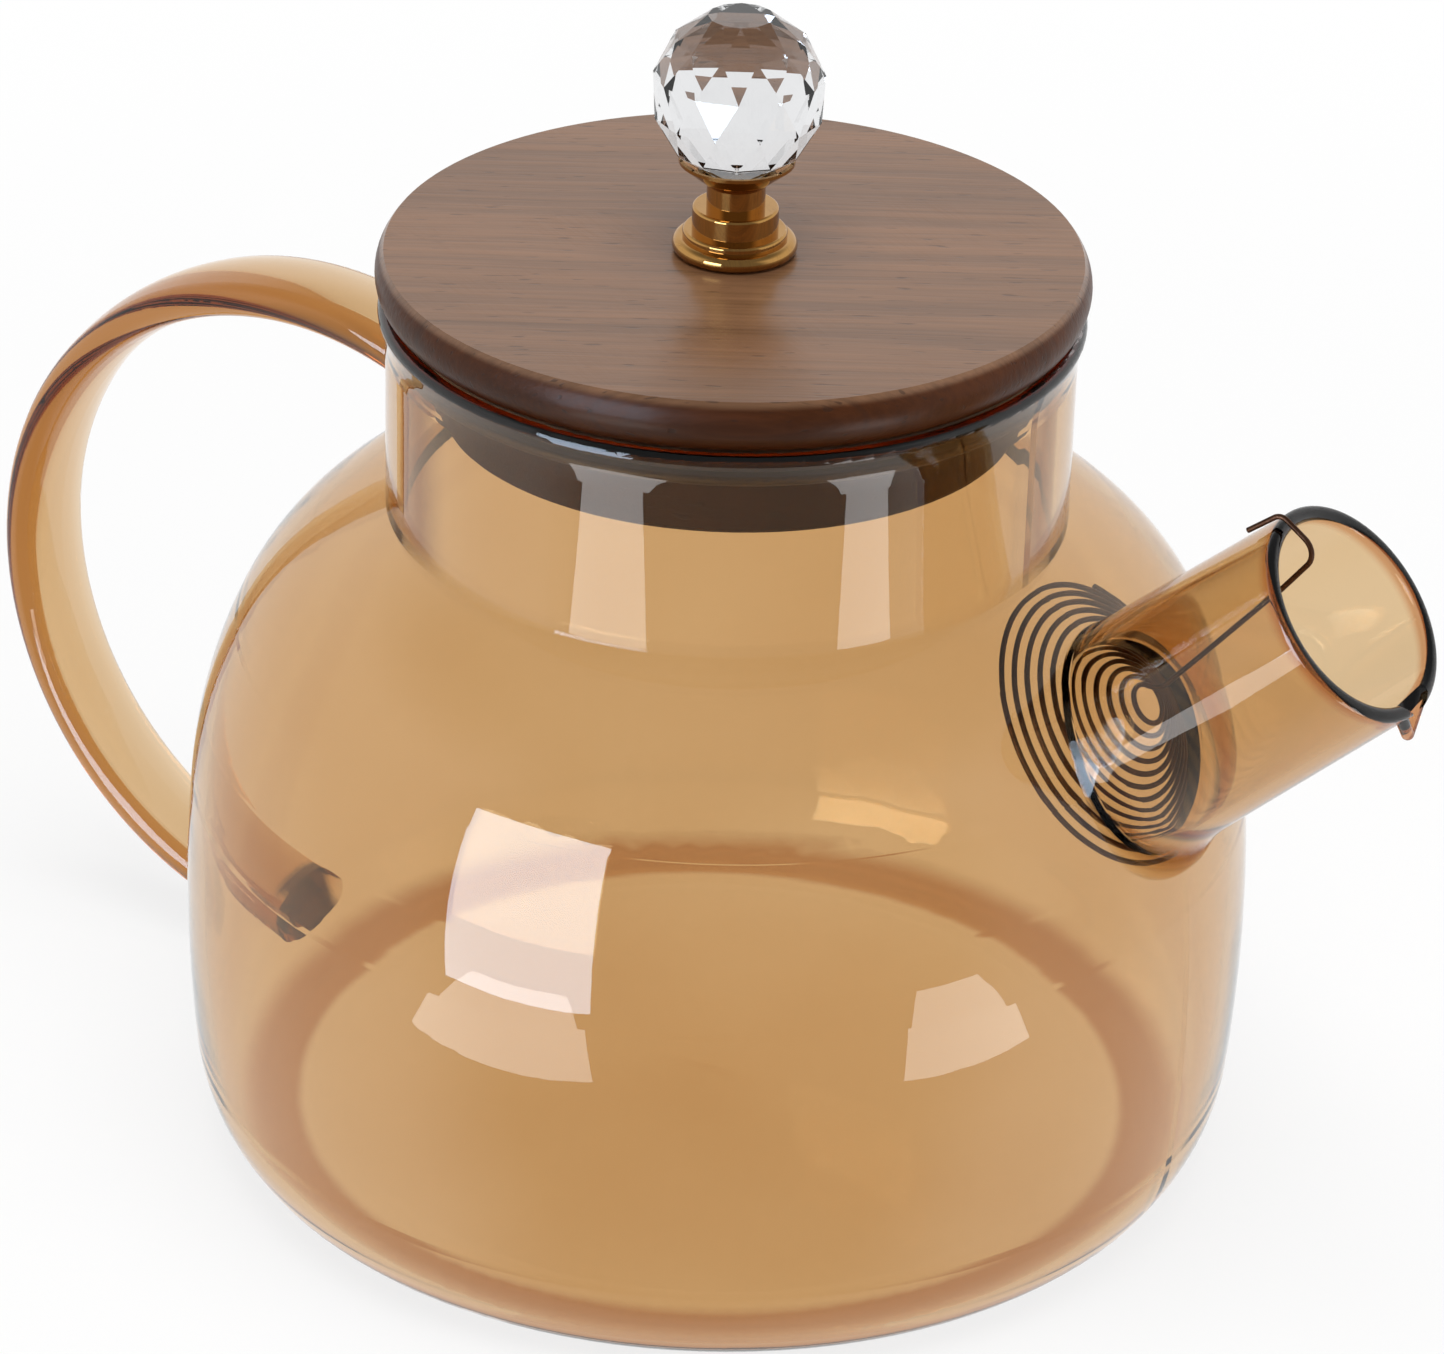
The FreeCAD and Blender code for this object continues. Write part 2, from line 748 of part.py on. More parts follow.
def knob_base():
    """Turned and plated base: stepped flange, drum, stem and a cup for the crystal."""
    body = new_body("knob_base")
    flange_round = "flange_tall / 2"
    outline = Outline(flat_sketch(body, "base_outline"), "thread_radius", "lid_top")
    outline.line_to(f"flange_radius - {flange_round}", "lid_top")
    outline.arc_about((f"flange_radius - {flange_round}", above_lid(flange_round)), turn="180")
    outline.line_to("step_radius", above_lid("flange_tall"))
    outline.line_to("step_radius", above_lid("step_tall - knob_edge"))
    outline.arc_about(("step_radius - knob_edge", above_lid("step_tall - knob_edge")), turn="90")
    outline.line_to("drum_radius", above_lid("step_tall"))
    outline.line_to("drum_radius", above_lid("drum_tall - knob_edge"))
    outline.arc_about(("drum_radius - knob_edge", above_lid("drum_tall - knob_edge")), turn="90")
    outline.line_to("stem_radius", above_lid("drum_tall"))
    outline.line_to("stem_radius", above_lid("stem_tall"))
    outline.line_to("cup_radius", above_lid("cup_tall - cup_wall"))
    outline.line_to("cup_radius", above_lid("cup_tall"))
    outline.line_to("cup_radius - cup_wall", above_lid("cup_tall"))
    outline.line_to("seat_radius", above_lid("seat_tall"))
    outline.line_to("0", above_lid("seat_tall"))
    outline.line_to("0", above_lid("thread_deep"))
    outline.line_to("thread_radius", above_lid("thread_deep"))
    return revolve(body, outline.close())


def knob_screw():
    """Round-headed screw up through the lid into the base."""
    body = new_body("knob_screw")
    seat = f"{PLUG_UNDER} + recess_depth"
    outline = Outline(flat_sketch(body, "screw_outline"), "0", f"{seat} - head_tall")
    outline.line_to("head_radius - head_tall / 2", f"{seat} - head_tall")
    outline.arc_about(("head_radius - head_tall / 2", f"{seat} - head_tall / 2"), turn="90")
    outline.line_to("head_radius", seat)
    outline.line_to("shank_radius", seat)
    outline.line_to("shank_radius", above_lid("shank_reach"))
    outline.line_to("0", above_lid("shank_reach"))
    return revolve(body, outline.close())


def crystal_rings():
    """Rings of corners on the ball, from its table to its seat, each half a step round."""
    radius = number("crystal_radius")
    columns = round(number("crystal_columns"))
    bands = round(number("crystal_bands"))
    centre = Vector(0, 0, number(above_lid("crystal_centre")))
    table = math.radians(number("table_angle"))
    seat = math.acos(number("seat_tall - crystal_centre") / radius)
    rings = []
    for band in range(bands + 1):
        polar = table + (seat - table) * band / bands
        ring = []
        for column in range(columns):
            turn = 2 * math.pi * (column + 0.5 * (band % 2)) / columns
            way = Vector(math.cos(turn) * math.sin(polar), math.sin(turn) * math.sin(polar), math.cos(polar))
            ring.append(centre + way * radius)
        rings.append(ring)
    return rings


def flat_face(corners):
    return Part.Face(Part.makePolygon(corners + corners[:1]))


def crystal_ball():
    """Ball cut into bands of three-cornered facets, with a flat table and a flat seat."""
    rings = crystal_rings()
    columns = len(rings[0])
    faces = [flat_face(rings[0]), flat_face(rings[-1])]
    for band, (upper, lower) in enumerate(zip(rings, rings[1:])):
        shift = band % 2
        for column in range(columns):
            following = (column + 1) % columns
            below = (column + shift) % columns
            below_before = (column + shift - 1) % columns
            faces.append(flat_face([upper[column], upper[following], lower[below]]))
            faces.append(flat_face([upper[column], lower[below], lower[below_before]]))
    ball = doc.addObject("Part::Feature", "crystal_ball")
    ball.Shape = Part.Solid(Part.Shell(faces))
    return ball


def check(item):
    """Stop where an object failed or a solid isn't whole."""
    if "Invalid" in item.State or "Error" in item.State:
        raise ValueError(f"{item.Label} failed: {item.State}")


def check_solid(item):
    if item.Shape.isNull() or not item.Shape.isValid() or len(item.Shape.Solids) != 1:
        raise ValueError(f"{item.Label} is not one whole solid")


def main():
    outside = vessel_outside()
    pieces = [
        glass_vessel(outside),
        glass_spout(outside),
        glass_handle(outside),
        spout_strainer(),
        lid_disc(),
        lid_plug(),
        lid_seal(),
        knob_base(),
        knob_screw(),
        crystal_ball(),
    ]
    doc.recompute()
    for item in doc.Objects:
        check(item)
    for piece in pieces:
        check_solid(piece)
    os.makedirs("parts", exist_ok=True)
    for piece in pieces:
        piece.Shape.exportStep(f"parts/{piece.Label}.step")


main()
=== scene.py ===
"""Glass teapot with a wooden lid, a crystal knob and a wire strainer: finishes, light and camera."""

import math

import bpy
import numpy as np
from mathutils import Matrix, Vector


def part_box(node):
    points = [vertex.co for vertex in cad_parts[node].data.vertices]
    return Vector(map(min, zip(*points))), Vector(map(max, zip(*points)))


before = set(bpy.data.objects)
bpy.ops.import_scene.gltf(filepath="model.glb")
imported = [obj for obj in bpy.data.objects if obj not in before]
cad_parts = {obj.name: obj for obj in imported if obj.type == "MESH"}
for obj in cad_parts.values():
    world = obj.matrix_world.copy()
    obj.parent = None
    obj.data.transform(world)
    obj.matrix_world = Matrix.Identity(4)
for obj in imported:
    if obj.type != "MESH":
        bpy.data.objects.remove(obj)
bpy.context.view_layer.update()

# Places on the vessel, in metres: heights above the table and distances from the pot's axis.
RIM_HEIGHT = 0.1331
RIM_BEAD_START = RIM_HEIGHT - 0.005
RIM_BEAD_FULL = RIM_HEIGHT - 0.001
SHOULDER_TOP = 0.1
NECK_START = SHOULDER_TOP + 0.004
NECK_MIDDLE = 0.0485
FOOT_TALL = 0.004
FOOT_RADIUS = 0.064
FOOT_RING_START = FOOT_RADIUS - 0.002

# Places on the spout, in metres: reach is counted along its axis from the centre of the mouth.
MOUTH = (0.1002, 0.0, 0.1121)
SPOUT_RISE = math.radians(43.2)
ROOT_REACH = -0.03
ROOT_FACES_BACK = -0.65
FLARE_START = 0.0174
FLARE_END = 0.0184
FLARE_MELTED = 0.85
LIP_START = -0.0028
LIP_FULL = -0.0012
BEAK_REACH = 0.1083
BEAK_START = BEAK_REACH - 0.0006
BEAK_TOP = 0.101
BEAK_FULL = BEAK_TOP - 0.001

# Places on the handle, in metres: its two welds lie below and above the height of the split.
LOW_WELD_RADIUS = 0.0815
LOW_WELD_FULL = LOW_WELD_RADIUS - 0.0015
LOW_WELD_EDGE = 0.0068
LOW_WELD_CORE = 0.0045
HIGH_WELD_RADIUS = 0.0525
HIGH_WELD_FULL = HIGH_WELD_RADIUS - 0.002
WELD_SPLIT = 0.06
WELD_SPLIT_FADE = 0.01

# Glass: how much red, green and blue each piece takes per metre of the way through it.
WALL_TAKES = (56.0, 114.0, 214.0)
TUBE_TAKES = (85.0, 170.0, 320.0)
STRAP_TAKES = (40.0, 84.0, 156.0)

# Glass: tints of its skin, a painted edge-on reflection, painted shade colours, and how it bends
# light.
STAINED_SKIN = (0.905, 0.815, 0.69, 1.0)
CLEAR_SKIN = (0.97, 0.94, 0.9, 1.0)
# Painted reflection: glass seen edge on is painted this pale colour.
EDGE_ON_PAINTED_PALE = (0.98, 0.95, 0.93, 1.0)
PALE_PATCHES = (1.0, 0.99, 0.98, 1.0)
DEEP_PATCHES = (0.95, 0.91, 0.85, 1.0)
# Painted shade: the neck's inner face, seen nearly edge on from within, is painted this brown.
NECK_SHADE_BROWN = (0.18, 0.065, 0.02, 1.0)
# Painted shade colours for the thick rim bead, the foot's edge and the spout's lip beads.
RIM_SHADE_AMBER = (0.5, 0.24, 0.1, 1.0)
LIP_SHADE_AMBER = (0.66, 0.36, 0.21, 1.0)
# Painted shade colour where the strap's ends are pressed on the wall.
WELD_SHADE_BROWN = (0.012, 0.003, 0.001, 1.0)
GLASS_IOR = 1.47
CRYSTAL_IOR = 1.56
CORDS_PER_WAVER = 0.04
WAVER_TALL = 0.0006
WAVER_STRENGTH = 0.2

# Wood: scales of its noises along, across and through the fibre, per metre, and its stave's width.
GRAIN_TURN = math.radians(30.0)
STAVE_WIDTH = 0.021
STAVE_OFFSET = 0.27
SWAY_SCALE = (14.0, 30.0, 30.0)
SWAY_REACH = 0.004
COARSE_FIBRE = (9.0, 260.0, 110.0)
FINE_FIBRE = (40.0, 1500.0, 700.0)
COARSE_SHARE = 0.55
FINE_SHARE = 0.45
PORE_DASHES = (190.0, 1500.0, 900.0)

# Wood: colours, a side darker partly by painted shade, and the lacquer that ends just below the flat
# top.
LID_LIGHT = (0.228, 0.113, 0.057, 1.0)
LID_DARK = (0.142, 0.069, 0.033, 1.0)
PLUG_LIGHT = (0.16, 0.09, 0.055, 1.0)
PLUG_DARK = (0.09, 0.046, 0.027, 1.0)
# Partly stain and partly painted shade: the side below the flat top is darkened by this colour.
SIDE_STAIN_AND_SHADE = (0.36, 0.21, 0.1, 1.0)
SEAM_DARK = (0.03, 0.014, 0.008, 1.0)
PORE_DARK = (0.025, 0.012, 0.007, 1.0)
SEAM_SHARE = 0.25
PORE_SHARE = 0.55
TONE_DARKEST = 0.9
TONE_LIGHTEST = 1.08
LACQUER_FADE = 0.0002
LACQUER_END = 0.0012
LACQUER_WEIGHT = 0.58
LACQUER_LOST = -0.5
LACQUER_ROUGH = 0.2
WOOD_SPECULAR = 0.12
FIBRE_TALL = 0.00012
FIBRE_STRENGTH = 0.35
PORE_DEPTH = 0.8

# Camera: bearing and rise round the pot, pitch and lean in degrees, distance and height in metres.
VIEW_TURN = 30.0
VIEW_RISE = 28.56
VIEW_PITCH = 0.19
VIEW_ROLL = 1.67
VIEW_DISTANCE = 0.8811
VIEW_HEIGHT = 0.06853
FILM_WIDTH = 36.0
FOCAL_WIDTHS = 5945.76 / 1444

# Studio: the point that the lights face, the floor, and how bright backdrop, ceiling and room are.
LIT_POINT = (0.0, 0.0, 0.07)
COOL_WHITE = (0.78, 0.96, 1.2)
WHITE = (1.0, 1.0, 1.0, 1.0)
FLOOR_GREY = (0.92, 0.92, 0.92, 1.0)
FLOOR_HALF = 4.0
FLOOR_HEIGHT = -0.0004
PATCH_HEIGHT = 0.001
SHADOW_NEAR = 0.12
SHADOW_FAR = 0.5
LIFT_NEAR = 0.82
LIFT_THROUGH_GLASS = 0.95
CEILING_DIM = 0.3
ROOM_DIM = 0.15
ROOM_LIGHT = 0.3


def put(tree, kind, links=None, **settings):
    """Adds one shader node; links gives an input, by name or place, a value or an output."""
    node = tree.nodes.new(kind)
    for name, value in settings.items():
        setattr(node, name, value)
    for name, value in (links or {}).items():
        socket = node.inputs[name]
        if isinstance(value, bpy.types.NodeSocket):
            tree.links.new(value, socket)
        else:
            socket.default_value = value
    return node


def calc(tree, operation, first, second=0.5, third=0.5):
    """One Math node on values or outputs."""
    links = {0: first, 1: second, 2: third}
    return put(tree, "ShaderNodeMath", links, operation=operation).outputs[0]


def times(tree, first, second):
    """The product of two values."""
    return calc(tree, "MULTIPLY", first, second)


def most_of(tree, first, second):
    """The larger of two values."""
    return calc(tree, "MAXIMUM", first, second)


def vector_calc(tree, operation, **links):
    """One Vector Math node; returns the node, as some operations give a vector and some a value."""
    places = {"first": 0, "second": 1, "scale": "Scale"}
    named = {places[name]: value for name, value in links.items()}
    return put(tree, "ShaderNodeVectorMath", named, operation=operation)


def remap(tree, value, low, high, out_low=0.0, out_high=1.0, smooth=True):
    """Maps low..high to out_low..out_high, clamped; the ends are eased where smooth is set."""
    links = {"Value": value, 1: low, 2: high, 3: out_low, 4: out_high}
    kind = "SMOOTHSTEP" if smooth else "LINEAR"
    return put(tree, "ShaderNodeMapRange", links, interpolation_type=kind).outputs[0]


def blend_colour(tree, share, first, second, kind="MIX"):
    """Mixes two colours by a share."""
    links = {0: share, 6: first, 7: second}
    return put(tree, "ShaderNodeMix", links, data_type="RGBA", blend_type=kind).outputs[2]


def object_place(tree):
    """The point on the piece, in metres from the pot's own origin."""
    return put(tree, "ShaderNodeTexCoord").outputs["Object"]


def split_place(tree, place):
    """The three parts of a point."""
    split = put(tree, "ShaderNodeSeparateXYZ", {0: place})
    return [split.outputs[name] for name in "XYZ"]


def axis_place(tree, place):
    """How far a point is from the pot's axis, and how high."""
    x, y, height = split_place(tree, place)
    level = put(tree, "ShaderNodeCombineXYZ", {"X": x, "Y": y}).outputs[0]
    return vector_calc(tree, "LENGTH", first=level).outputs["Value"], height


def noise(tree, place, scale, detail, rough):
    """Plain three-dimensional noise about 0.5."""
    links = {"Vector": place, "Scale": scale, "Detail": detail, "Roughness": rough}
    return put(tree, "ShaderNodeTexNoise", links).outputs["Fac"]


def turned_place(tree, place, angle):
    """The place turned about the pot's axis."""
    links = {"Vector": place, "Angle": angle}
    return put(tree, "ShaderNodeVectorRotate", links, rotation_type="Z_AXIS").outputs[0]


def stretched(tree, place, scale):
    """The place scaled along each direction."""
    return vector_calc(tree, "MULTIPLY", first=place, second=scale).outputs[0]


def effect_group(name, inputs, outputs):
    """A node group that works on a place; inputs are its named values, outputs its named masks.

    Returns its tree, its input node and its output node.
    """
    tree = bpy.data.node_groups.new(name, "ShaderNodeTree")
    tree.interface.new_socket("Place", in_out="INPUT", socket_type="NodeSocketVector")
    for socket, value in inputs.items():
        made = tree.interface.new_socket(socket, in_out="INPUT", socket_type="NodeSocketFloat")
        made.default_value = value
    for socket in outputs:
        tree.interface.new_socket(socket, in_out="OUTPUT", socket_type="NodeSocketFloat")
    return tree, tree.nodes.new("NodeGroupInput"), tree.nodes.new("NodeGroupOutput")


def blown_glass_group():
    """Blown glass: a slow waver of the wall as a height, and an unevenness of its tint as a mask."""
    inputs = {"Waver": 1.0, "Cords": 0.3}
    tree, given, result = effect_group("blown_glass", inputs, ["Height", "Tint"])
    place = given.outputs["Place"]
    slow = noise(tree, place, scale=28.0, detail=1.0, rough=0.4)
    upright = stretched(tree, place, (1.0, 1.0, 5.0))
    drawn = noise(tree, upright, scale=70.0, detail=2.0, rough=0.5)
    wave = times(tree, slow, given.outputs["Waver"])
    cords = times(tree, drawn, given.outputs["Cords"])
    tree.links.new(calc(tree, "ADD", wave, cords), result.inputs["Height"])
    uneven = noise(tree, place, scale=16.0, detail=2.0, rough=0.5)
    tree.links.new(remap(tree, uneven, 0.3, 0.7), result.inputs["Tint"])
    return tree


def fine_marks_group():
    """Handling marks: broad smears crossed by fine scratches, as one mask."""
    tree, given, result = effect_group("fine_marks", {"Size": 1.0}, ["Smears"])
    sized = vector_calc(tree, "SCALE", first=given.outputs["Place"], scale=given.outputs["Size"])
    place = sized.outputs[0]
    broad = noise(tree, place, scale=90.0, detail=4.0, rough=0.6)
    scratched = stretched(tree, turned_place(tree, place, math.radians(25.0)), (1.0, 14.0, 1.0))
    thin = noise(tree, scratched, scale=300.0, detail=2.0, rough=0.6)
    smears = times(tree, remap(tree, broad, 0.42, 0.68), remap(tree, thin, 0.35, 0.7))
    tree.links.new(smears, result.inputs["Smears"])
    return tree


def wood_grain_group():
    """Stained staves glued side by side: fine fibres, a tone for each stave, glue seams and pores."""
    inputs = {"Turn": 0.0, "Stave": STAVE_WIDTH}
    outputs = ["Fibre", "Tone", "Seam", "Pores"]
    tree, given, result = effect_group("wood_grain", inputs, outputs)
    place = turned_place(tree, given.outputs["Place"], given.outputs["Turn"])
    sway = noise(tree, stretched(tree, place, SWAY_SCALE), scale=1.0, detail=2.0, rough=0.5)
    bend = put(tree, "ShaderNodeCombineXYZ", {"Y": times(tree, sway, SWAY_REACH)}).outputs[0]
    swayed = vector_calc(tree, "ADD", first=place, second=bend).outputs[0]
    coarse = noise(tree, stretched(tree, swayed, COARSE_FIBRE), scale=1.0, detail=4.0, rough=0.6)
    fine = noise(tree, stretched(tree, swayed, FINE_FIBRE), scale=1.0, detail=3.0, rough=0.65)
    fibre = calc(tree, "ADD", times(tree, coarse, COARSE_SHARE), times(tree, fine, FINE_SHARE))
    tree.links.new(remap(tree, fibre, 0.33, 0.68), result.inputs["Fibre"])
    _, across, _ = split_place(tree, place)
    row = calc(tree, "ADD", calc(tree, "DIVIDE", across, given.outputs["Stave"]), STAVE_OFFSET)
    stave = {"W": calc(tree, "FLOOR", row)}
    tone = put(tree, "ShaderNodeTexWhiteNoise", stave, noise_dimensions="1D").outputs["Value"]
    tree.links.new(tone, result.inputs["Tone"])
    from_middle = calc(tree, "ABSOLUTE", calc(tree, "SUBTRACT", calc(tree, "FRACT", row), 0.5))
    tree.links.new(remap(tree, from_middle, 0.486, 0.498), result.inputs["Seam"])
    dashes = noise(tree, stretched(tree, place, PORE_DASHES), scale=1.0, detail=1.0, rough=0.5)
    tree.links.new(remap(tree, dashes, 0.66, 0.74), result.inputs["Pores"])
    return tree


def new_finish(name):
    """A new material; returns it, its tree, its Principled shader and the place on the piece."""
    material = bpy.data.materials.new(name)
    material.use_nodes = True
    tree = material.node_tree
    shader = next(n for n in tree.nodes if n.type == "BSDF_PRINCIPLED")
    return material, tree, shader, object_place(tree)


def use_group(tree, group, **links):
    """Places a shared effect in a material."""
    return put(tree, "ShaderNodeGroup", links, node_tree=group)


def raise_surface(tree, shader, height, distance, strength):
    """Turns a height into the shader's normal; distance is the height of 1, in metres."""
    links = {"Height": height, "Distance": distance, "Strength": strength}
    tree.links.new(put(tree, "ShaderNodeBump", links).outputs["Normal"], shader.inputs["Normal"])


def amber_glass(name, blown, takes, skin, painted_shade, shade_colour, waver, welded=None, neck_shade_band=None):
    """Amber glass that takes light along the way through it, so a wall is pale and an edge dark.

    takes is how much red, green and blue it takes per metre: exp(-takes * d) is left after d metres.
    skin is the tint of its thin stained surface. Towards where it is seen edge on the colour
    is painted pale, a painted reflection of the white backdrop. Painted shade deepens the colour
    where the given mask says, for thick beads and welds. Where welded says that two pieces are
    melted together, the face between them is clear. Where the neck's mask says so, its inner face,
    seen nearly edge on from within, is painted brown: painted shade for light that comes a long
    way inside the wall.
    """
    material, tree, shader, place = new_finish(name)
    wall = use_group(tree, blown, Place=place, Waver=waver, Cords=CORDS_PER_WAVER * waver)
    shader.inputs["Roughness"].default_value = 0.0
    shader.inputs["IOR"].default_value = GLASS_IOR
    shader.inputs["Transmission Weight"].default_value = 1.0
    uneven = blend_colour(tree, wall.outputs["Tint"], PALE_PATCHES, DEEP_PATCHES)
    facing = put(tree, "ShaderNodeLayerWeight", {"Blend": 0.5}).outputs["Facing"]
    # Painted reflection: the colour turns paler where the glass is seen edge on.
    painted_edge_pale = blend_colour(tree, remap(tree, facing, 0.28, 0.6), skin, EDGE_ON_PAINTED_PALE)
    tint = blend_colour(tree, 1.0, uneven, painted_edge_pale, "MULTIPLY")
    # Painted shade: a brown band on the neck's inner face where it is seen nearly edge on from within.
    if neck_shade_band:
        from_inside = put(tree, "ShaderNodeNewGeometry").outputs["Backfacing"]
        steep = times(tree, remap(tree, facing, 0.2, 0.245), from_inside)
        tint = blend_colour(tree, times(tree, steep, neck_shade_band(tree, place)), tint, NECK_SHADE_BROWN)
    # Painted shade: deeper colour in thick beads and at the strap's welds.
    shade = blend_colour(tree, painted_shade(tree, place), tint, shade_colour)
    tree.links.new(shade, shader.inputs["Base Color"])
    raise_surface(tree, shader, wall.outputs["Height"], WAVER_TALL, WAVER_STRENGTH)
    if welded:
        unmelted = calc(tree, "SUBTRACT", 1.0, welded(tree, place))
        tree.links.new(unmelted, shader.inputs["Alpha"])
    most = max(takes)
    left = tuple(1.0 - share / most for share in takes) + (1.0,)
    inside = put(tree, "ShaderNodeVolumeAbsorption", {"Color": left, "Density": most})
    out = next(n for n in tree.nodes if n.type == "OUTPUT_MATERIAL")
    tree.links.new(inside.outputs[0], out.inputs["Volume"])
    return material


def spout_place(tree, place):
    """How far a point is along the spout from its mouth, and how far from the spout's axis."""
    along = (math.cos(SPOUT_RISE), 0.0, math.sin(SPOUT_RISE))
    from_mouth = vector_calc(tree, "SUBTRACT", first=place, second=MOUTH).outputs[0]
    reach = vector_calc(tree, "DOT_PRODUCT", first=from_mouth, second=along).outputs["Value"]
    across = vector_calc(tree, "CROSS_PRODUCT", first=from_mouth, second=along).outputs[0]
    return reach, vector_calc(tree, "LENGTH", first=across).outputs["Value"]


def faces_mouth(tree):
    """How much the glass faces along the spout towards its mouth; the same from within the glass."""
    along = (math.cos(SPOUT_RISE), 0.0, math.sin(SPOUT_RISE))
    face = put(tree, "ShaderNodeNewGeometry")
    towards = vector_calc(tree, "DOT_PRODUCT", first=face.outputs["Normal"], second=along)
    side = calc(tree, "MULTIPLY_ADD", face.outputs["Backfacing"], -2.0, 1.0)
    return times(tree, towards.outputs["Value"], side)


def welded_root(tree, place):
    """The spout's root: its face on the vessel, and the flare round it that flows into the belly."""
    reach, away = spout_place(tree, place)
    at_root = calc(tree, "LESS_THAN", reach, ROOT_REACH)
    back = calc(tree, "LESS_THAN", faces_mouth(tree), ROOT_FACES_BACK)
    flare = remap(tree, away, FLARE_START, FLARE_END, 0.0, FLARE_MELTED)
    return times(tree, at_root, most_of(tree, back, flare))


def inside_neck(tree, place):
    """The inner face of the neck, between the shoulder and the rim."""
    around, height = axis_place(tree, place)
    above = remap(tree, height, SHOULDER_TOP, NECK_START)
    tall = times(tree, above, calc(tree, "LESS_THAN", height, RIM_HEIGHT))
    return times(tree, tall, calc(tree, "LESS_THAN", around, NECK_MIDDLE))


def shaded_wall_beads(tree, place):
    """Painted shade: deeper colour in the foot's turned edge and, less, in the bead of the rim."""
    around, height = axis_place(tree, place)
    ring = remap(tree, around, FOOT_RING_START, FOOT_RADIUS)
    foot = times(tree, remap(tree, height, FOOT_TALL, 0.0), ring)
    rim = remap(tree, height, RIM_BEAD_START, RIM_BEAD_FULL, 0.0, 0.25)
    return most_of(tree, foot, rim)


def shaded_lip_beads(tree, place):
    """Painted shade: deeper colour in the bead round the spout's mouth and in the two beads of its
    drip lip.
    """
    reach, _ = spout_place(tree, place)
    x, _, z = split_place(tree, place)
    forward = remap(tree, x, BEAK_START, BEAK_REACH)
    beak = times(tree, forward, remap(tree, z, BEAK_TOP, BEAK_FULL))
    return most_of(tree, remap(tree, reach, LIP_START, LIP_FULL), beak)


def shaded_strap_ends(tree, place):
    """Painted shade where the strap's ends are pressed on: dark on the belly, less on the neck."""
    around, height = axis_place(tree, place)
    _, y, _ = split_place(tree, place)
    core = remap(tree, calc(tree, "ABSOLUTE", y), LOW_WELD_EDGE, LOW_WELD_CORE)
    pressed = times(tree, remap(tree, around, LOW_WELD_RADIUS, LOW_WELD_FULL), core)
    below = remap(tree, height, WELD_SPLIT, WELD_SPLIT - WELD_SPLIT_FADE)
    above = remap(tree, height, WELD_SPLIT, WELD_SPLIT + WELD_SPLIT_FADE)
    high = remap(tree, around, HIGH_WELD_RADIUS, HIGH_WELD_FULL, 0.0, 0.4)
    return most_of(tree, times(tree, pressed, below), times(tree, high, above))


def stained_wood(name, grain, marks, light, dark, rough, flat_top):
    """Stained staves with the fibre raised: lacquered on the flat top, bare below it and darker there,
    partly painted shade.
    """
    material, tree, shader, place = new_finish(name)
    wood = use_group(tree, grain, Place=place, Turn=-GRAIN_TURN)
    fibre, pores = wood.outputs["Fibre"], wood.outputs["Pores"]
    body = blend_colour(tree, fibre, dark, light)
    tone = remap(tree, wood.outputs["Tone"], 0.0, 1.0, TONE_DARKEST, TONE_LIGHTEST, smooth=False)
    toned = vector_calc(tree, "SCALE", first=body, scale=tone).outputs[0]
    _, _, height = split_place(tree, place)
    # The side below the flat top: bare of lacquer, and darkened partly as painted shade.
    below_top = remap(tree, height, flat_top - LACQUER_FADE, flat_top - LACQUER_END)
    shade = blend_colour(tree, below_top, toned, SIDE_STAIN_AND_SHADE, "MULTIPLY")
    shade = blend_colour(tree, times(tree, wood.outputs["Seam"], SEAM_SHARE), shade, SEAM_DARK)
    shade = blend_colour(tree, times(tree, pores, PORE_SHARE), shade, PORE_DARK)
    tree.links.new(shade, shader.inputs["Base Color"])
    shader.inputs["Specular IOR Level"].default_value = WOOD_SPECULAR
    shader.inputs["Coat Roughness"].default_value = LACQUER_ROUGH
    lacquer = calc(tree, "MULTIPLY_ADD", below_top, LACQUER_LOST, LACQUER_WEIGHT)
    tree.links.new(lacquer, shader.inputs["Coat Weight"])
    smears = use_group(tree, marks, Place=place, Size=0.6).outputs["Smears"]
    smeared = calc(tree, "MULTIPLY_ADD", smears, 0.1, rough)
    tree.links.new(calc(tree, "MULTIPLY_ADD", fibre, 0.08, smeared), shader.inputs["Roughness"])
    relief = calc(tree, "SUBTRACT", fibre, times(tree, pores, PORE_DEPTH))
    raise_surface(tree, shader, relief, FIBRE_TALL, FIBRE_STRENGTH)
    return material


def handled(name, marks, size, clean, smeared, rough, rougher, **plain):
    """A finish with handling marks: a smear changes the colour and adds rougher to rough.

    size scales the marks. plain sets other inputs of the shader, with _ for a blank in the name.
    """
    material, tree, shader, place = new_finish(name)
    smears = use_group(tree, marks, Place=place, Size=size).outputs["Smears"]
    tree.links.new(blend_colour(tree, smears, clean, smeared), shader.inputs["Base Color"])
    tree.links.new(calc(tree, "MULTIPLY_ADD", smears, rougher, rough), shader.inputs["Roughness"])
    for socket, value in plain.items():
        shader.inputs[socket.replace("_", " ")].default_value = value
    return material


def gold_plate(marks):
    """Polished gold plate with faint smears."""
    clean, smeared = (0.46, 0.25, 0.075, 1.0), (0.33, 0.17, 0.055, 1.0)
    return handled("gold_plate", marks, 2.0, clean, smeared, rough=0.03, rougher=0.08, Metallic=1.0)


def steel_wire(marks):
    """Browned steel wire, satin, with paler and smoother rubbed spots."""
    clean, rubbed = (0.06, 0.024, 0.011, 1.0), (0.12, 0.06, 0.034, 1.0)
    return handled("steel_wire", marks, 3.0, clean, rubbed, rough=0.42, rougher=-0.12, Metallic=0.85)


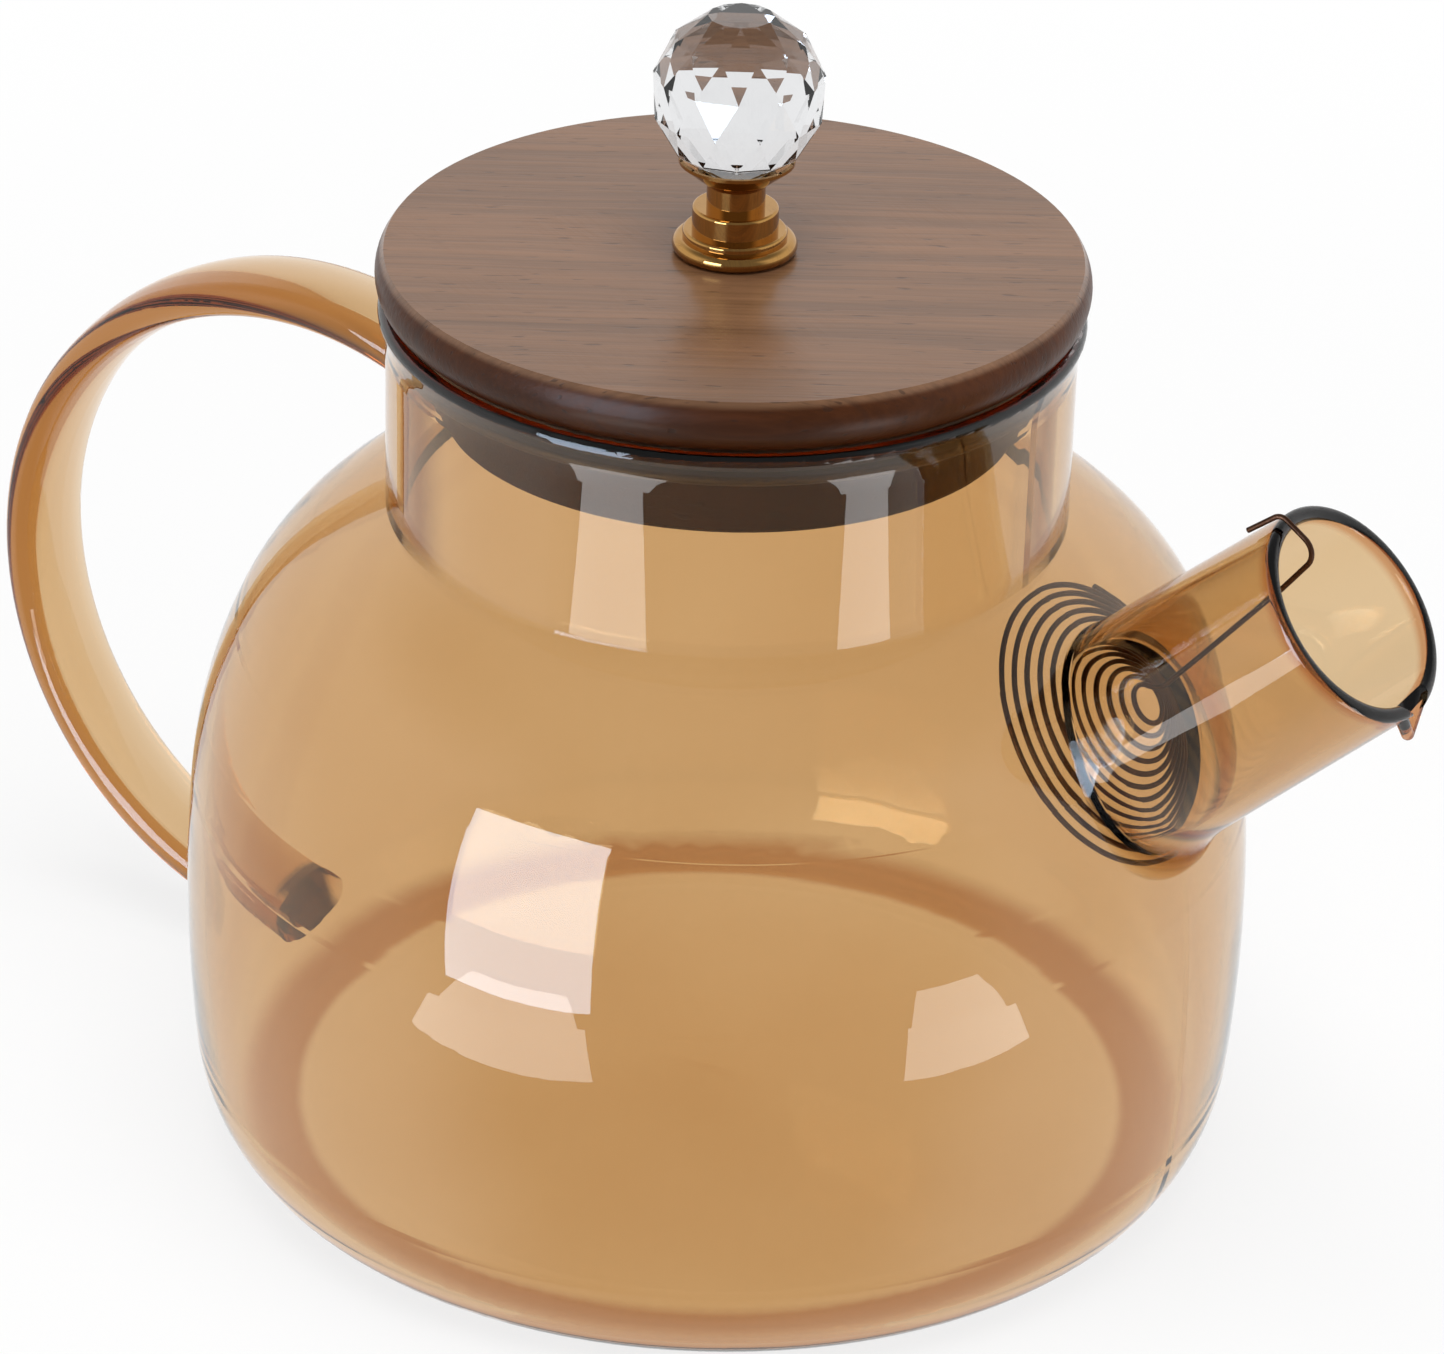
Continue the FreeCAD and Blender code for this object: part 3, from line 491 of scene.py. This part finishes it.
def screw_steel(marks):
    """Plain bright steel of the knob's screw."""
    clean, smeared = (0.62, 0.61, 0.6, 1.0), (0.4, 0.39, 0.38, 1.0)
    return handled("screw_steel", marks, 3.0, clean, smeared, rough=0.22, rougher=0.15, Metallic=1.0)


def seal_rubber(marks):
    """Dark brown soft seal with a matt skin."""
    clean, dusty = (0.055, 0.034, 0.024, 1.0), (0.1, 0.066, 0.048, 1.0)
    return handled("seal_rubber", marks, 1.5, clean, dusty, rough=0.42, rougher=0.2)


def cut_crystal(marks):
    """Clear cut crystal, polished, with a trace of handling smears."""
    clean, smeared = (0.8, 0.805, 0.815, 1.0), (0.74, 0.745, 0.76, 1.0)
    return handled("crystal", marks, 2.0, clean, smeared, rough=0.0, rougher=0.02,
                   Transmission_Weight=1.0, IOR=CRYSTAL_IOR)


def dress(node, material):
    """Gives a piece of the pot its finish."""
    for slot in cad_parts[node].material_slots:
        slot.material = material


def dress_pot():
    """Every piece gets its finish."""
    blown = blown_glass_group()
    marks = fine_marks_group()
    grain = wood_grain_group()
    lid_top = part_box("lid_disc")[1].z
    dress("glass_vessel", amber_glass(
        "amber_wall", blown, WALL_TAKES, STAINED_SKIN, shaded_wall_beads, RIM_SHADE_AMBER, waver=1.0,
        neck_shade_band=inside_neck))
    dress("glass_spout", amber_glass(
        "amber_tube", blown, TUBE_TAKES, STAINED_SKIN, shaded_lip_beads, LIP_SHADE_AMBER, waver=0.8,
        welded=welded_root))
    dress("glass_handle", amber_glass(
        "amber_strap", blown, STRAP_TAKES, CLEAR_SKIN, shaded_strap_ends, WELD_SHADE_BROWN, waver=1.6))
    dress("spout_strainer", steel_wire(marks))
    dress("lid_disc", stained_wood(
        "lid_wood", grain, marks, LID_LIGHT, LID_DARK, rough=0.35, flat_top=lid_top))
    dress("lid_plug", stained_wood(
        "plug_wood", grain, marks, PLUG_LIGHT, PLUG_DARK, rough=0.5, flat_top=lid_top))
    dress("lid_seal", seal_rubber(marks))
    dress("knob_base", gold_plate(marks))
    dress("knob_screw", screw_steel(marks))
    dress("crystal_ball", cut_crystal(marks))


def view_axes():
    """Place, right, up and forward of the camera: it looks down at the axis and leans a little."""
    rise, pitch, roll, turn = np.radians([VIEW_RISE, VIEW_PITCH, VIEW_ROLL, VIEW_TURN])
    back, high = VIEW_DISTANCE * np.cos(rise), VIEW_DISTANCE * np.sin(rise)
    place = np.array([0, -back, high + VIEW_HEIGHT])
    down = np.array([0, np.cos(rise), -np.sin(rise)])
    ahead = down + np.tan(pitch) * np.array([0, np.sin(rise), np.cos(rise)])
    ahead /= np.linalg.norm(ahead)
    level = np.cross(ahead, [0, 0, 1.0])
    level /= np.linalg.norm(level)
    over = np.cross(level, ahead)
    right = np.cos(roll) * level + np.sin(roll) * over
    up = np.cos(roll) * over - np.sin(roll) * level
    spin = np.array([[np.cos(turn), -np.sin(turn), 0], [np.sin(turn), np.cos(turn), 0], [0, 0, 1]])
    return [spin @ v for v in (place, right, up, ahead)]


def set_matrix(item, place, right, up, ahead):
    """Places an object by its axes: the matrix's columns are right, up, backwards and place."""
    matrix = np.eye(4)
    matrix[:3] = np.stack([right, up, -np.asarray(ahead), place], axis=1)
    item.matrix_world = Matrix(matrix.tolist())


def make_camera():
    """The camera of the photograph."""
    data = bpy.data.cameras.new("camera")
    data.sensor_fit = "HORIZONTAL"
    data.sensor_width = FILM_WIDTH
    data.lens = FILM_WIDTH * FOCAL_WIDTHS
    data.clip_start, data.clip_end = 0.01, 50.0
    camera = bpy.data.objects.new("camera", data)
    bpy.context.scene.collection.objects.link(camera)
    set_matrix(camera, *view_axes())
    bpy.context.scene.camera = camera


def new_light(name, size, power, lights, mirrored):
    """A rectangular light, unseen by the camera: it lights matt pieces or shows in polished ones."""
    data = bpy.data.lights.new(name, "AREA")
    data.shape = "RECTANGLE"
    data.size, data.size_y = size
    data.energy = power
    light = bpy.data.objects.new(name, data)
    bpy.context.scene.collection.objects.link(light)
    light.visible_camera = False
    light.visible_diffuse = lights
    light.visible_glossy = mirrored
    return light


def soft_light(name, turn, rise, distance, size, power, lights=False, mirrored=False):
    """A soft light at a bearing and height angle round the pot, facing it."""
    light = new_light(name, size, power, lights, mirrored)
    light.visible_transmission = mirrored
    a, e = math.radians(turn), math.radians(rise)
    out = np.array([math.sin(a) * math.cos(e), -math.cos(a) * math.cos(e), math.sin(e)])
    side = np.array([math.cos(a), math.sin(a), 0.0])
    set_matrix(light, np.array(LIT_POINT) + distance * out, side, np.cross(out, side), -out)
    return light


def table_light(name, turn, distance, size, power):
    """A bright patch of the table that only shows as a reflection in the glass: flat, facing up."""
    light = new_light(name, size, power, lights=False, mirrored=True)
    light.visible_transmission = False
    a = math.radians(turn)
    side = np.array([math.cos(a), math.sin(a), 0.0])
    up = np.array([0.0, 0.0, 1.0])
    place = np.array([distance * math.sin(a), -distance * math.cos(a), PATCH_HEIGHT])
    set_matrix(light, place, side, np.cross(-up, side), up)


def make_lights():
    """Two softboxes that light the pot, one that it mirrors, and two mirrored patches of the table."""
    left = soft_light("left_softbox", turn=-9.0, rise=3.0, distance=1.0, size=(0.56, 0.74),
                      power=12.0, mirrored=True)
    left.data.color = COOL_WHITE
    soft_light("right_softbox", turn=88.0, rise=20.0, distance=1.0, size=(0.42, 0.5),
               power=2.0, lights=True)
    soft_light("top_softbox", turn=30.0, rise=80.0, distance=1.2, size=(0.9, 0.9),
               power=13.0, lights=True)
    table_light("left_table_patch", turn=-5.0, distance=0.24, size=(0.1, 0.14), power=0.2)
    table_light("right_table_patch", turn=73.0, distance=0.25, size=(0.07, 0.16), power=0.15)


def make_floor():
    """A wide pale floor: plain diffuse, lifted towards white where it is seen, with a soft shadow."""
    across = np.array([-FLOOR_HALF, FLOOR_HALF])
    x, y = np.meshgrid(across, across)
    points = np.stack([x, y, np.full_like(x, FLOOR_HEIGHT)], axis=-1).reshape(-1, 3)
    mesh = bpy.data.meshes.new("floor")
    mesh.from_pydata(points.tolist(), [], [(0, 1, 3, 2)])
    floor = bpy.data.objects.new("floor", mesh)
    bpy.context.scene.collection.objects.link(floor)
    material = bpy.data.materials.new("pale_floor")
    material.use_nodes = True
    tree = material.node_tree
    tree.nodes.clear()
    ray = put(tree, "ShaderNodeLightPath")
    away = vector_calc(tree, "LENGTH", first=object_place(tree)).outputs["Value"]
    lift = remap(tree, away, SHADOW_NEAR, SHADOW_FAR, LIFT_NEAR, 1.0)
    looked_at = times(tree, ray.outputs["Is Camera Ray"], lift)
    through_glass = times(tree, ray.outputs["Is Transmission Ray"], LIFT_THROUGH_GLASS)
    seen = most_of(tree, looked_at, through_glass)
    seen = most_of(tree, seen, ray.outputs["Is Glossy Ray"])
    matt = put(tree, "ShaderNodeBsdfDiffuse", {"Color": FLOOR_GREY}).outputs[0]
    lifted = put(tree, "ShaderNodeEmission", {"Color": WHITE, "Strength": 1.0}).outputs[0]
    both = put(tree, "ShaderNodeMixShader", {0: seen, 1: matt, 2: lifted}).outputs[0]
    put(tree, "ShaderNodeOutputMaterial", {"Surface": both})
    mesh.materials.append(material)
    floor.visible_glossy = False


def make_world():
    """A white backdrop under a dim ceiling; polished pieces also mirror the dimmer room in front."""
    world = bpy.data.worlds.new("studio")
    world.use_nodes = True
    bpy.context.scene.world = world
    tree = world.node_tree
    tree.nodes.clear()
    way = put(tree, "ShaderNodeTexCoord").outputs["Generated"]
    _, _, up = split_place(tree, way)
    turn = math.radians(VIEW_TURN)
    towards = (math.sin(turn), -math.cos(turn), 0.0)
    front = vector_calc(tree, "DOT_PRODUCT", first=way, second=towards).outputs["Value"]
    backdrop = remap(tree, up, 0.45, 0.85, 1.0, CEILING_DIM)
    room = remap(tree, front, 0.3, 0.8, 1.0, ROOM_DIM)
    ray = put(tree, "ShaderNodeLightPath")
    through = times(tree, ray.outputs["Is Transmission Ray"], backdrop)
    mirrored = times(tree, ray.outputs["Is Glossy Ray"], times(tree, backdrop, room))
    strength = most_of(tree, through, mirrored)
    strength = most_of(tree, strength, ray.outputs["Is Camera Ray"])
    strength = most_of(tree, strength, ROOM_LIGHT)
    glow = put(tree, "ShaderNodeBackground", {"Color": WHITE, "Strength": strength}).outputs[0]
    put(tree, "ShaderNodeOutputWorld", {"Surface": glow})


dress_pot()
make_floor()
make_world()
make_camera()
make_lights()
bpy.context.scene.view_settings.view_transform = "Standard"
